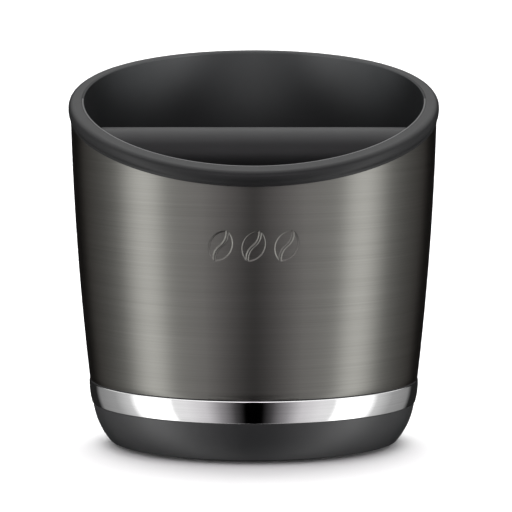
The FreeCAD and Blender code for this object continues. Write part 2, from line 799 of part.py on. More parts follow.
def make_end_screw(label, turned):
    """A low-head screw with a hexagon socket, along X into the core."""
    body = new_body("EndScrew" + ("Left" if turned else "Right"))
    under = D("key_end") + " - " + D("cap_sink_deep")
    face = under + " + " + D("cap_head_thick")
    tip = D("core_half") + " - " + D("tap_deep") + " + " + D("tap_spare")
    along_x(body, "ScrewTurned", [
        (tip, "0"),
        (face, "0"),
        (face, D("cap_head_r")),
        (under, D("cap_head_r")),
        (under, D("cap_screw_r")),
        (tip, D("cap_screw_r")),
    ])
    sketch = new_sketch(body, "HexOutline", "YZ_Plane", face)
    corners = []
    for number in range(HEX_SIDES):
        angle = math.radians(HEX_START + FULL_TURN / HEX_SIDES * number)
        x = "%.6f * %s" % (math.cos(angle), D("hex_r")) if abs(math.cos(angle)) > TOUCH else "0"
        corners.append((x, "%.6f * %s" % (math.sin(angle), D("hex_r"))))
    draw_outline(sketch, corners)
    before = body.Shape.Volume
    socket = body.newObject("PartDesign::Pocket", "HexSocket")
    socket.Profile = sketch
    socket.Type = "Length"
    socket.setExpression("Length", D("hex_deep"))
    doc.recompute()
    check_cut("HexSocket", before, body)
    return finish_piece(body, label, bar_placement(turned))


def make_slot_liner(label, turned):
    """The U-shaped rubber that lines a bar seat."""
    body = new_body("SlotLiner" + ("Left" if turned else "Right"))
    outer = D("slot_half")
    inner = outer + " - " + D("liner_thick") + " - " + D("gap")
    raise_outline(body, "LinerU", "YZ_Plane", D("seat_x"), [
        ("-(" + outer + " - " + D("gap") + ")", D("liner_top")),
        ("-(" + outer + " - " + D("gap") + ")", D("slot_low")),
        (outer + " - " + D("gap"), D("slot_low")),
        (outer + " - " + D("gap"), D("liner_top")),
        (inner, D("liner_top")),
        (inner, D("slot_low") + " + " + D("liner_thick")),
        ("-(" + inner + ")", D("slot_low") + " + " + D("liner_thick")),
        ("-(" + inner + ")", D("liner_top")),
    ], D("liner_end") + " - " + D("seat_x"))
    half_turn = Rotation(Vector(0, 0, 1), HALF_TURN if turned else 0.0)
    return finish_piece(body, label, Placement(Vector(0, 0, 0), half_turn))


# ---- checks and files ----

def check_document():
    """Stops if any object failed or any piece has no valid shape."""
    doc.recompute()
    for obj in doc.Objects:
        if "Invalid" in obj.State or "Error" in obj.State:
            raise RuntimeError("failed object: " + obj.Label)
    for piece in pieces:
        if piece.Shape.isNull() or not piece.Shape.isValid() or not piece.Shape.Solids:
            raise RuntimeError("bad shape: " + piece.Label)


def write_files():
    os.makedirs("parts", exist_ok=True)
    for piece in pieces:
        piece.Shape.exportStep("parts/" + piece.Label + ".step")
        box = piece.Shape.BoundBox
        print("%-22s solids %d  volume %10.1f  x %7.2f %7.2f  y %7.2f %7.2f  z %7.2f %7.2f" % (
            piece.Label, len(piece.Shape.Solids), piece.Shape.Volume,
            box.XMin, box.XMax, box.YMin, box.YMax, box.ZMin, box.ZMax))


make_rim_collar()
make_rim_gasket()
make_outer_shell()
make_inner_bin()
make_band_seal()
make_chrome_band()
make_base_cup()
make_foot_ring()
make_ballast_plate()
make_damping_pad()
ring_of("base_screws", "BaseScrew", make_base_screw)
ring_of("base_screw_washers", "Washer", make_washer)
make_bar_core()
make_bar_sleeve()
for side, is_left in (("right", False), ("left", True)):
    make_end_cap("bar_end_cap_" + side, is_left)
    make_end_screw("bar_end_screw_" + side, is_left)
    make_slot_liner("slot_liner_" + side, is_left)
check_document()
write_files()
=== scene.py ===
import math

import bmesh
import bpy
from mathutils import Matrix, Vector


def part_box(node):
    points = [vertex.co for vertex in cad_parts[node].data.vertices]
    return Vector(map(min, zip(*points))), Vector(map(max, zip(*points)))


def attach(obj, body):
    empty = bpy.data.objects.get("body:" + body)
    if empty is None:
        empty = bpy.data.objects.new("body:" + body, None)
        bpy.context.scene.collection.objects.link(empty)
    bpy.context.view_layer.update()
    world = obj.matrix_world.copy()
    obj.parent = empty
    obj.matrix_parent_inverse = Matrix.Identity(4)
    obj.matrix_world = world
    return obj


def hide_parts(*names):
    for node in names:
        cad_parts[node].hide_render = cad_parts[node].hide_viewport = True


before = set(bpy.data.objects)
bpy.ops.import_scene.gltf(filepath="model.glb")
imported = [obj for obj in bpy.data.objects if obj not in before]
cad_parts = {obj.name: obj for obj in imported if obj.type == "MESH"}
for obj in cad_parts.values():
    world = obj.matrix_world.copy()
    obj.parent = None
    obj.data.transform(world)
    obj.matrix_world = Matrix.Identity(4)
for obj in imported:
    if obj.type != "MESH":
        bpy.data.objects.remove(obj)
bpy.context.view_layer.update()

# Espresso knock box: slanted mouth low towards -Y, knock bar along X. Profiles are in millimetres
# and are turned into metres as each mesh is made.
MM = 0.001
FRONT = -math.pi / 2             # the front's angle round the box
WELD_DISTANCE = 0.000002         # points closer than this, in metres, are joined
SOFTEN_ANGLE = math.radians(30)  # edges sharper than this are rounded
NEARLY_STRAIGHT = math.radians(178)
STRAIGHT_REACH = 0.1             # how far a nearly straight corner spreads its points


def node_size(node):
    """Lowest and highest corners of a CAD node, in millimetres."""
    low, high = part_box(node)
    return low / MM, high / MM


# ---- sizes read from the frame ----

rim_high = node_size("rim_collar")[1]
shell_low, shell_high = node_size("outer_shell")
band_low, band_high = node_size("chrome_band")
cup_low, cup_high = node_size("base_cup")
foot_high = node_size("foot_ring")[1]
bar_low, bar_high = node_size("knock_bar_sleeve")
cap_low, cap_high = node_size("bar_end_cap_right")
liner_low, liner_high = node_size("slot_liner_right")
screw_low, screw_high = node_size("bar_end_screw_right")

RIM_R = rim_high.x - 0.02
BAR_Z = (bar_low.z + bar_high.z) / 2
BAR_R = (bar_high.z - bar_low.z) / 2
BAR_HALF = bar_high.x

# ---- sizes of the design that the frame's boxes don't hold ----

MOUTH_R = 77.8           # inner radius of the mouth
LIP_R = 78.8             # outer radius of the bin's lip
ARCH_R = 945.0           # arched cut across the mouth, and its centre
ARCH_Y = 241.4
ARCH_Z = -754.73
SKIRT_ARC_R = 945.0      # arch of the rim's lower edge, and its centre
SKIRT_ARC_Y = 226.7
SKIRT_ARC_Z = -766.3
GROOVE_DEEP = 3.6        # groove under the rim that hides the sleeve's top edge
GROOVE_R = 82.1
GASKET_HIGH = 1.2        # gasket in that groove
SLEEVE_ARC_R = 1379.5    # barrelled side of the sleeve, and its centre
SLEEVE_ARC_X = -1295.18
SLEEVE_ARC_Z = 185.0
SLEEVE_THICK = 0.8
BIN_UNDER = 14.6         # underside of the bin's floor
BIN_FLOOR = 17.0         # upper face of the bin's floor
BIN_FLOOR_R = 65.0
BIN_STRAIGHT = 117.0     # height where the bin's tapered wall turns upright
BIN_WALL = 2.2
BIN_CORNER = 12.0        # rounding between the bin's wall and floor
UPSTAND_R = 73.15        # the base cup's upstand, outside and inside
UPSTAND_INNER_R = 70.95
CUP_KNEE = 19.0          # height where the cup's inner wall turns upright
CUP_WALL_LOW_R = 66.5
CUP_FLOOR = 3.6
CUP_ROUND = 3.2
RIB_R = 47.5             # the cup's thick fixing ring, inner radius and top
RIB_TOP = 8.0
SEAT_X = 71.7            # a bar seat, from its inner to its outer face
SEAT_END = 78.6
SEAT_HALF = 12.6
SEAT_LOW = 115.7
SEAT_TOP = 140.2
SLOT_HALF = 9.95         # the slot in a bar seat
SLOT_LOW = 123.3
CORE_R = 6.05            # hole through the rubber sleeve for the steel core
KEY_HALF = 8.0           # square block on an end cap
KEY_ROUND = 3.0
FLANGE_R = 12.3          # an end cap's flange
FLANGE_THICK = 1.0
SINK_R = 4.6             # recess for an end screw's head
SINK_DEEP = 2.6
SCREW_R = 2.45           # an end screw's thread, head and hexagon socket
HEAD_R = 4.2
HEX_R = 1.7
HEX_DEEP = 1.6
LINER_THICK = 1.6
MARK_Z = 99.5            # the debossed mark's centre and depth
MARK_DEEP = 0.35


def arch_z(y):
    """Height of the mouth's arch at y."""
    return ARCH_Z + math.sqrt(ARCH_R ** 2 - (y - ARCH_Y) ** 2)


def skirt_z(y):
    """Height of the rim's lower edge at y."""
    return SKIRT_ARC_Z + math.sqrt(SKIRT_ARC_R ** 2 - (y - SKIRT_ARC_Y) ** 2)


def sleeve_r(z):
    """Outer radius of the sleeve at height z."""
    return SLEEVE_ARC_X + math.sqrt(SLEEVE_ARC_R ** 2 - (z - SLEEVE_ARC_Z) ** 2)


# ---- outlines ----

def between(start, end, part):
    """The direction a part of the way round from start to end, with their length."""
    sweep = start.angle(end)
    return (start * math.sin((1 - part) * sweep) + end * math.sin(part * sweep)) / math.sin(sweep)


def rounded(corners, steps=6, share=0.49):
    """A closed outline from (r, z, radius) corners, each rounded within a share of its sides.

    Every rounded corner has steps + 1 points, a nearly straight one too, so that the outlines
    at neighbouring angles always match point for point.
    """
    count = len(corners)
    outline = []
    for i, (r, z, radius) in enumerate(corners):
        if radius <= 0:
            outline.append((r, z))
            continue
        here = Vector((r, z))
        before = Vector(corners[i - 1][:2]) - here
        after = Vector(corners[(i + 1) % count][:2]) - here
        turn = before.angle(after)
        if turn > NEARLY_STRAIGHT:
            span = min(STRAIGHT_REACH, share * before.length, share * after.length)
            for step in range(steps + 1):
                part = 2 * step / steps - 1
                leg = after if part > 0 else before
                outline.append(tuple(here + leg.normalized() * (abs(part) * span)))
            continue
        reach = min(radius / math.tan(turn / 2), share * before.length, share * after.length)
        fitted = reach * math.tan(turn / 2)
        middle = (before.normalized() + after.normalized()).normalized()
        centre = here + middle * (fitted / math.sin(turn / 2))
        start = here + before.normalized() * reach - centre
        end = here + after.normalized() * reach - centre
        for step in range(steps + 1):
            outline.append(tuple(centre + between(start, end, step / steps)))
    return outline


def arc_points(start, end, radius, side, steps):
    """Points inside an arc from start to end, bulging left (1) or right (-1) of the way there."""
    a = Vector(start)
    b = Vector(end)
    chord = b - a
    left = Vector((-chord.y, chord.x)).normalized()
    height = math.sqrt(radius ** 2 - (chord.length / 2) ** 2)
    centre = (a + b) / 2 - left * side * height
    points = []
    for step in range(1, steps):
        points.append(tuple(centre + between(a - centre, b - centre, step / steps)) + (0,))
    return points


def even_angles(count):
    """Evenly spaced angles round the box, from the front."""
    return [FRONT + 2 * math.pi * i / count for i in range(count)]


# ---- meshes ----

def finish_mesh(name, vertices, faces, body, node_names, material, soften=None):
    """Makes a smooth-shaded piece that stands for CAD nodes and rides on their body."""
    mesh = bpy.data.meshes.new(name)
    mesh.from_pydata([tuple(c * MM for c in v) for v in vertices], [], faces)
    mesh.validate()
    piece = bpy.data.objects.new(name, mesh)
    bpy.context.scene.collection.objects.link(piece)
    weld(mesh)
    for polygon in mesh.polygons:
        polygon.use_smooth = True
    if soften:
        bevel = piece.modifiers.new("EdgeRounding", "BEVEL")
        bevel.width = soften * MM
        bevel.segments = 4
        bevel.limit_method = "ANGLE"
        bevel.angle_limit = SOFTEN_ANGLE
    normals = piece.modifiers.new("FaceNormals", "WEIGHTED_NORMAL")
    normals.keep_sharp = True
    mesh.materials.append(material)
    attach(piece, body)
    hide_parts(*node_names)
    return piece


def weld(mesh):
    """Joins points that fall together at the axis and makes all faces point outwards."""
    work = bmesh.new()
    work.from_mesh(mesh)
    bmesh.ops.remove_doubles(work, verts=work.verts, dist=WELD_DISTANCE)
    bmesh.ops.recalc_face_normals(work, faces=work.faces)
    work.to_mesh(mesh)
    work.free()


def ring_faces(columns, rows):
    """Faces of a closed ring of columns, each a closed outline of rows points."""
    faces = []
    for i in range(columns):
        here = i * rows
        there = ((i + 1) % columns) * rows
        for j in range(rows):
            following = (j + 1) % rows
            faces.append((here + j, there + j, there + following, here + following))
    return faces


def loft(angles, section):
    """Vertices and faces of a closed ring whose outline at each angle is section(angle)."""
    vertices = []
    for angle in angles:
        for r, z in section(angle):
            vertices.append((r * math.cos(angle), r * math.sin(angle), z))
    return vertices, ring_faces(len(angles), len(vertices) // len(angles))


def turned_about_bar(section, side=1, count=144):
    """Vertices and faces of a closed (x, r) outline, section(angle), turned round the bar's axis."""
    vertices = []
    for i in range(count):
        angle = 2 * math.pi * i / count
        for x, r in section(angle):
            vertices.append((side * x, r * math.cos(angle), BAR_Z + r * math.sin(angle)))
    return vertices, ring_faces(count, len(vertices) // count)


def prism(points, x_from, x_to):
    """Vertices and faces of an outline in the YZ plane stretched along X."""
    count = len(points)
    vertices = [(x_from, y, z) for y, z in points] + [(x_to, y, z) for y, z in points]
    faces = [tuple(range(count)), tuple(range(2 * count - 1, count - 1, -1))]
    for i in range(count):
        j = (i + 1) % count
        faces.append((i, j, count + j, count + i))
    return vertices, faces


def ring(name, section, body, nodes, material, count=256):
    """A lofted ring piece."""
    vertices, faces = loft(even_angles(count), section)
    return finish_mesh(name, vertices, faces, body, nodes, material)


# ---- materials ----

def start_material(name):
    """A node material: returns it with its tree, its Principled shader and its object coordinates."""
    material = bpy.data.materials.new(name)
    material.use_nodes = True
    tree = material.node_tree
    shader = tree.nodes["Principled BSDF"]
    coords = tree.nodes.new("ShaderNodeTexCoord")
    return material, tree, shader, coords.outputs["Object"]


def stretched(tree, source, scale):
    """Object coordinates scaled by a vector."""
    mapping = tree.nodes.new("ShaderNodeMapping")
    mapping.inputs["Scale"].default_value = scale
    tree.links.new(source, mapping.inputs["Vector"])
    return mapping.outputs["Vector"]


def noise(tree, source, scale, detail=2.0, roughness=0.5):
    """A soft random pattern, between 0 and 1."""
    texture = tree.nodes.new("ShaderNodeTexNoise")
    texture.inputs["Scale"].default_value = scale
    texture.inputs["Detail"].default_value = detail
    texture.inputs["Roughness"].default_value = roughness
    tree.links.new(source, texture.inputs["Vector"])
    return texture.outputs["Fac"]


def blend_colour(tree, factor, low, high, near=0.3, far=0.7):
    """A colour that runs from low to high with a factor."""
    ramp = tree.nodes.new("ShaderNodeValToRGB")
    ramp.color_ramp.elements[0].position = near
    ramp.color_ramp.elements[0].color = (*low, 1)
    ramp.color_ramp.elements[1].position = far
    ramp.color_ramp.elements[1].color = (*high, 1)
    tree.links.new(factor, ramp.inputs["Fac"])
    return ramp.outputs["Color"]


def spread(tree, factor, low, high):
    """A number that runs from low to high with a factor."""
    span = tree.nodes.new("ShaderNodeMapRange")
    span.inputs["To Min"].default_value = low
    span.inputs["To Max"].default_value = high
    tree.links.new(factor, span.inputs["Value"])
    return span.outputs["Result"]


def bump(tree, shader, height, distance, strength):
    """Fine relief on a shader, its depth in metres."""
    node = tree.nodes.new("ShaderNodeBump")
    node.inputs["Distance"].default_value = distance
    node.inputs["Strength"].default_value = strength
    tree.links.new(height, node.inputs["Height"])
    tree.links.new(node.outputs["Normal"], shader.inputs["Normal"])


def moulded(name, colour, rough, grain=3500.0, grain_depth=0.35, specular=0.5, tone=0.08):
    """Moulded plastic or rubber: faint mottling, uneven gloss and a fine spark-eroded grain."""
    material, tree, shader, coords = start_material(name)
    mottle = noise(tree, coords, 60.0, 4.0)
    low = [c * (1 - tone) for c in colour]
    high = [c * (1 + tone) for c in colour]
    tree.links.new(blend_colour(tree, mottle, low, high), shader.inputs["Base Color"])
    gloss = noise(tree, coords, 220.0, 3.0)
    tree.links.new(spread(tree, gloss, rough - 0.03, rough + 0.03), shader.inputs["Roughness"])
    shader.inputs["Specular IOR Level"].default_value = specular
    bump(tree, shader, noise(tree, coords, grain, 1.5, 0.6), 0.00002, grain_depth)
    return material


LIP_HIGHLIGHT_START = -0.020       # y, in metres, where the lip's painted highlight starts to turn pale
LIP_HIGHLIGHT_FULL = -0.055        # y, in metres, where the lip's painted highlight is fully pale
MIX_FACTOR = 0           # the colour sockets of a Mix node, by place
MIX_FIRST = 6
MIX_SECOND = 7
MIX_RESULT = 2


def paint_lip_highlight(material, colour):
    """Turns the lip's colour paler towards the front: a painted highlight along the front lip."""
    tree = material.node_tree
    coords = tree.nodes.new("ShaderNodeTexCoord")
    split = tree.nodes.new("ShaderNodeSeparateXYZ")
    tree.links.new(coords.outputs["Object"], split.inputs[0])
    along = tree.nodes.new("ShaderNodeMapRange")
    along.inputs["From Min"].default_value = LIP_HIGHLIGHT_START
    along.inputs["From Max"].default_value = LIP_HIGHLIGHT_FULL
    tree.links.new(split.outputs["Y"], along.inputs["Value"])
    blend = tree.nodes.new("ShaderNodeMix")
    blend.data_type = "RGBA"
    blend.inputs[MIX_SECOND].default_value = (*colour, 1)
    socket = tree.nodes["Principled BSDF"].inputs["Base Color"]
    tree.links.new(along.outputs["Result"], blend.inputs[MIX_FACTOR])
    tree.links.new(socket.links[0].from_socket, blend.inputs[MIX_FIRST])
    tree.links.new(blend.outputs[MIX_RESULT], socket)


STEEL_DARK = (0.170, 0.168, 0.155)
STEEL_LIGHT = (0.210, 0.208, 0.193)
STEEL_TINT = (0.42, 0.38, 0.38, 1)
TRIM_DARK = (0.83, 0.83, 0.83)
TRIM_LIGHT = (0.9, 0.9, 0.9)


def brushed_steel(name):
    """Dark tinted stainless steel, brushed round the sleeve in fine level lines."""
    material, tree, shader, coords = start_material(name)
    shader.inputs["Metallic"].default_value = 1.0
    lines = noise(tree, stretched(tree, coords, (11.0, 11.0, 2400.0)), 1.0, 3.0, 0.6)
    bands = noise(tree, stretched(tree, coords, (5.0, 5.0, 520.0)), 1.0, 2.0, 0.5)
    both = tree.nodes.new("ShaderNodeMix")
    both.inputs["Factor"].default_value = 0.3
    tree.links.new(lines, both.inputs["A"])
    tree.links.new(bands, both.inputs["B"])
    tree.links.new(
        blend_colour(tree, both.outputs["Result"], STEEL_DARK, STEEL_LIGHT, 0.3, 0.7),
        shader.inputs["Base Color"])
    tree.links.new(spread(tree, lines, 0.32, 0.38), shader.inputs["Roughness"])
    shader.inputs["Anisotropic"].default_value = 0.8
    shader.inputs["Specular Tint"].default_value = STEEL_TINT
    shader.inputs["Anisotropic Rotation"].default_value = 0.25
    tangent = tree.nodes.new("ShaderNodeTangent")
    tangent.direction_type = "RADIAL"
    tangent.axis = "Z"
    tree.links.new(tangent.outputs["Tangent"], shader.inputs["Tangent"])
    bump(tree, shader, lines, 0.00001, 0.15)
    return material


def polished_chrome(name):
    """Mirror-polished trim with the faintest buffing lines."""
    material, tree, shader, coords = start_material(name)
    shader.inputs["Metallic"].default_value = 1.0
    haze = noise(tree, stretched(tree, coords, (20.0, 20.0, 1500.0)), 1.0, 2.0)
    tree.links.new(blend_colour(tree, haze, TRIM_DARK, TRIM_LIGHT), shader.inputs["Base Color"])
    tree.links.new(spread(tree, haze, 0.045, 0.085), shader.inputs["Roughness"])
    return material


def plated_metal(name, colour):
    """Zinc-plated or turned steel for the screws, the ballast plate and the bar's core."""
    material, tree, shader, coords = start_material(name)
    shader.inputs["Metallic"].default_value = 1.0
    spots = noise(tree, coords, 900.0, 3.0)
    low = [c * 0.85 for c in colour]
    tree.links.new(blend_colour(tree, spots, low, colour), shader.inputs["Base Color"])
    tree.links.new(spread(tree, spots, 0.28, 0.42), shader.inputs["Roughness"])
    bump(tree, shader, spots, 0.00001, 0.2)
    return material


BIN_COLOUR = (0.0130, 0.0138, 0.0144)
# Paler lip colour at the front: a painted highlight, not the plastic's own colour.
LIP_HIGHLIGHT_COLOUR = (0.036, 0.037, 0.038)

RIM = moulded("RimPlastic", (0.0070, 0.0073, 0.0078), 0.42, specular=0.33)
BIN = moulded("BinPlastic", BIN_COLOUR, 0.50, specular=0.2)
# Lip plastic, glossier than the bin, with a painted highlight: its colour turns paler towards the front.
LIP_PAINTED_HIGHLIGHT = moulded("BinLipPaintedHighlight", BIN_COLOUR, 0.36, specular=1.0)
paint_lip_highlight(LIP_PAINTED_HIGHLIGHT, LIP_HIGHLIGHT_COLOUR)
BASE = moulded("BasePlastic", (0.0105, 0.0112, 0.0122), 0.42, specular=0.76)
STEEL = brushed_steel("DarkBrushedSteel")
CHROME = polished_chrome("PolishedTrim")
PLATED = plated_metal("PlatedSteel", (0.55, 0.55, 0.56))
BAR = moulded("BarRubber", (0.018, 0.0184, 0.019), 0.46, 2200.0, 0.4, specular=0.34)
SEAL = moulded("SealRubber", (0.012, 0.012, 0.013), 0.6, 2600.0)
FOOT = moulded("FootRubber", (0.02, 0.02, 0.021), 0.65, 2000.0, 0.6)

NODE_MATERIALS = {
    "rim_gasket": SEAL,
    "band_seal": SEAL,
    "damping_pad": SEAL,
    "slot_liner_left": SEAL,
    "slot_liner_right": SEAL,
    "ballast_plate": PLATED,
    "base_screws": PLATED,
    "base_screw_washers": PLATED,
    "knock_bar_core": PLATED,
    "bar_end_screw_left": PLATED,
    "bar_end_screw_right": PLATED,
    "rim_collar": RIM,
    "outer_shell": STEEL,
    "inner_bin": BIN,
    "chrome_band": CHROME,
    "base_cup": BASE,
    "foot_ring": FOOT,
    "knock_bar_sleeve": BAR,
    "bar_end_cap_left": BIN,
    "bar_end_cap_right": BIN,
}
for node, material in NODE_MATERIALS.items():
    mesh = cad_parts[node].data
    mesh.materials.clear()
    mesh.materials.append(material)


# ---- rim ----

FLANK_LOW_SHARE = 0.18   # heights on the rim's outer side, as shares of the side
FLANK_TOP_SHARE = 0.38
FOOT_IN = 1.05           # how far the side tapers in, at its foot and above it
FLANK_IN = 0.8


def rim_section(angle):
    """The rim: flat top with a soft outer edge, a skirt that tapers in, a groove underneath."""
    def y(r):
        """How far back a place at radius r lies, at this angle."""
        return r * math.sin(angle)

    inner = LIP_R + 0.05
    low_edge = skirt_z(y(RIM_R))
    groove = skirt_z(y(GROOVE_R)) + GROOVE_DEEP
    skirt_in = sleeve_r(low_edge) + 0.1
    height = arch_z(y(RIM_R)) - low_edge
    foot_r = max(skirt_in + 0.15, RIM_R - FOOT_IN)
    flank_r = max(skirt_in + 0.35, RIM_R - FLANK_IN)
    return rounded([
        (inner, skirt_z(y(inner)), 0.2),
        (GROOVE_R, skirt_z(y(GROOVE_R)), 0.1),
        (GROOVE_R, groove, 0.1),
        (skirt_in, groove, 0.1),
        (skirt_in, low_edge, 0.05),
        (foot_r, low_edge, 0.3),
        (flank_r, low_edge + FLANK_LOW_SHARE * height, 2.0),
        (RIM_R, low_edge + FLANK_TOP_SHARE * height, 6.0),
        (RIM_R, arch_z(y(RIM_R)), 2.8),
        (inner, arch_z(y(inner)), 0.22),
    ], 7, 0.7)


ring("rim_collar_skin", rim_section, "housing", ["rim_collar"], RIM, 360)


# ---- sleeve ----

BEAN_COUNT = 3
BEAN_SPACING = 14.5
BEAN_TILT = math.radians(24.0)
BEAN_HALF_LONG = 7.0
BEAN_OUTER_R = 7.8
BEAN_CREASE_BULGE = 0.89
BEAN_CREASE_HALF = 0.55
MARK_EDGE = 0.45         # width of the soft step at the mark's edge
MARK_HALF_WIDE = 23.0    # the area round the mark where the mesh is fine
MARK_HALF_HIGH = 9.0
FINE_COLUMNS = 230       # columns over the mark, then round the rest of the sleeve
COARSE_COLUMNS = 190
ROWS_UNDER_MARK = 24
ROWS_OVER_MARK = 96
ROWS_ABOVE_MARK = 12
ROWS_INSIDE = 8


def bean_depth(x, z):
    """How far inside a bean's two pressed halves a point lies, in millimetres."""
    across = x * math.cos(BEAN_TILT) - z * math.sin(BEAN_TILT)
    along = x * math.sin(BEAN_TILT) + z * math.cos(BEAN_TILT)
    centre = math.sqrt(BEAN_OUTER_R ** 2 - BEAN_HALF_LONG ** 2) - BEAN_CREASE_HALF
    outside = BEAN_OUTER_R - math.hypot(abs(across) + centre, along)
    half = BEAN_HALF_LONG / 2
    curve = BEAN_CREASE_BULGE * (1 - min(((abs(along) - half) / half) ** 2, 1))
    crease = abs(across - math.copysign(curve, along)) - BEAN_CREASE_HALF
    return min(outside, crease)


def mark_depth(x, z):
    """Depth of the pressed mark of three beans at a place on the front of the sleeve."""
    best = -1.0
    for number in range(BEAN_COUNT):
        shift = (number - (BEAN_COUNT - 1) / 2) * BEAN_SPACING
        best = max(best, bean_depth(x - shift, z - MARK_Z))
    part = min(max(best / MARK_EDGE + 0.5, 0), 1)
    return MARK_DEEP * part * part * (3 - 2 * part)


def sleeve_angles():
    """Columns round the sleeve, close together over the mark."""
    half = MARK_HALF_WIDE / RIM_R
    angles = [FRONT - half + 2 * half * i / FINE_COLUMNS for i in range(FINE_COLUMNS)]
    rest = 2 * math.pi - 2 * half
    angles += [FRONT + half + rest * i / COARSE_COLUMNS for i in range(COARSE_COLUMNS)]
    return angles


def sleeve_section(angle):
    """The sleeve's outside from bottom to top, then its inside back down."""
    low = shell_low.z
    top = skirt_z(shell_high.x * math.sin(angle)) + GROOVE_DEEP - GASKET_HIGH
    band_from = MARK_Z - MARK_HALF_HIGH
    band_to = MARK_Z + MARK_HALF_HIGH
    heights = [low + (band_from - low) * i / ROWS_UNDER_MARK for i in range(ROWS_UNDER_MARK)]
    heights += [band_from + (band_to - band_from) * i / ROWS_OVER_MARK for i in range(ROWS_OVER_MARK)]
    heights += [band_to + (top - band_to) * i / ROWS_ABOVE_MARK for i in range(ROWS_ABOVE_MARK + 1)]
    near_front = math.sin(angle) < 0 and abs(math.cos(angle)) * RIM_R < MARK_HALF_WIDE + 1
    outline = []
    for z in heights:
        r = sleeve_r(z)
        if near_front and band_from < z < band_to:
            r -= mark_depth(r * math.cos(angle), z)
        outline.append((r, z))
    for i in range(ROWS_INSIDE + 1):
        z = top + (low - top) * i / ROWS_INSIDE
        outline.append((sleeve_r(z) - SLEEVE_THICK, z))
    return outline


vertices, faces = loft(sleeve_angles(), sleeve_section)
finish_mesh("outer_sleeve_skin", vertices, faces, "housing", ["outer_shell"], STEEL)


# ---- trim and base ----

BAND_INNER_R = 73.2
BAND_LOW_R = 74.7
BAND_ARC_R = 34.0
BAND_BEVEL = 0.3
BAND_LOW_BEVEL = 0.35
CUP_LOW_R = 66.4
CUP_ARC_R = 33.0
FOOT_INNER_R = 49.55
FOOT_GAP = 0.05          # clearance between the foot ring and its groove
GRIP_RADII = (51.8, 54.0, 56.2)
GRIP_DEEP = 0.35         # a grip groove in the foot ring: depth, half width at its mouth and roof
GRIP_HALF = 0.4
GRIP_ROOF_HALF = 0.25


def band_section(angle):
    """The chrome band: a gently curved face with a broad bright bevel along its top."""
    low = band_low.z
    top = band_high.z
    face_low = (BAND_LOW_R, low + BAND_LOW_BEVEL)
    face_top = (band_high.x, top - BAND_BEVEL)
    corners = [(BAND_INNER_R, low, 0.1), (BAND_LOW_R - BAND_LOW_BEVEL, low, 0.3), (*face_low, 0.4)]
    corners += arc_points(face_low, face_top, BAND_ARC_R, -1, 14)
    corners += [(*face_top, 0.25), (band_high.x - BAND_BEVEL, top, 0.2), (BAND_INNER_R, top, 0.1)]
    return rounded(corners, 5)


ring("chrome_band_skin", band_section, "housing", ["chrome_band"], CHROME, 360)


def cup_section(angle):
    """The base cup: rounded side, soft lower edge, foot groove, upstand and floor."""
    low = cup_low.z
    ledge = band_low.z
    side_low = (CUP_LOW_R, low)
    side_top = (cup_high.x, ledge)
    inner = FOOT_INNER_R - FOOT_GAP
    outer = foot_high.x + FOOT_GAP
    roof = foot_high.z
    corners = [(0, low, 0), (inner, low, 0.3), (inner, roof, 0.1), (outer, roof, 0.1), (outer, low, 0.3)]
    corners += [(*side_low, CUP_ROUND)]
    corners += arc_points(side_low, side_top, CUP_ARC_R, -1, 28)
    corners += [(*side_top, 0.25), (UPSTAND_R, ledge, 0.1), (UPSTAND_R, cup_high.z, 0.3)]
    corners += [(UPSTAND_INNER_R, cup_high.z, 0.3), (UPSTAND_INNER_R, CUP_KNEE, 0)]
    corners += [(CUP_WALL_LOW_R, RIB_TOP, 0.5), (RIB_R, RIB_TOP, 0.3)]
    corners += [(RIB_R, CUP_FLOOR, 0.3), (0, CUP_FLOOR, 0)]
    return rounded(corners, 5)


ring("base_cup_skin", cup_section, "housing", ["base_cup"], BASE, 256)


def foot_section(angle):
    """The foot ring: flat underside with three fine grip grooves and soft edges."""
    inner = FOOT_INNER_R
    outer = foot_high.x
    top = foot_high.z
    corners = [(inner, top, 0.2), (inner, 0, 0.8)]
    for grip_r in GRIP_RADII:
        corners += [(grip_r - GRIP_HALF, 0, 0.1), (grip_r - GRIP_ROOF_HALF, GRIP_DEEP, 0.1)]
        corners += [(grip_r + GRIP_ROOF_HALF, GRIP_DEEP, 0.1), (grip_r + GRIP_HALF, 0, 0.1)]
    corners += [(outer, 0, 0.8), (outer, top, 0.2)]
    return rounded(corners, 4)


ring("foot_ring_skin", foot_section, "housing", ["foot_ring"], FOOT, 192)


# ---- bin ----

def bin_section(angle):
    """The bin: tapered wall, rounded floor, thin lip with a soft inner edge at the mouth."""
    lip_y = LIP_R * math.sin(angle)
    mouth_y = MOUTH_R * math.sin(angle)
    outer = MOUTH_R + BIN_WALL
    shoulder = skirt_z(outer * math.sin(angle))
    return rounded([
        (0, BIN_FLOOR, 0),
        (BIN_FLOOR_R, BIN_FLOOR, BIN_CORNER),
        (MOUTH_R, BIN_STRAIGHT, 8.0),
        (MOUTH_R, arch_z(mouth_y), 0.75),
        (LIP_R, arch_z(lip_y), 0.15),
        (LIP_R, skirt_z(lip_y), 0.1),
        (outer, shoulder, 0.2),
        (outer, BIN_STRAIGHT, 8.0),
        (BIN_FLOOR_R + BIN_WALL, BIN_UNDER, BIN_CORNER),
        (0, BIN_UNDER, 0),
    ], 8)


LIP_HIGHLIGHT_BAND = 0.8           # how far below the mouth's arch the lip's painted highlight and glossier finish reach

bin_skin = ring("inner_bin_skin", bin_section, "housing", ["inner_bin"], BIN, 256)
# Front lip faces take the lip plastic, whose paler colour there is a painted highlight.
bin_skin.data.materials.append(LIP_PAINTED_HIGHLIGHT)
for face in bin_skin.data.polygons:
    middle = face.center / MM
    at_lip_highlight = math.hypot(middle.x, middle.y) < LIP_R and middle.z > arch_z(middle.y) - LIP_HIGHLIGHT_BAND
    if at_lip_highlight and middle.y < 0:
        face.material_index = 1

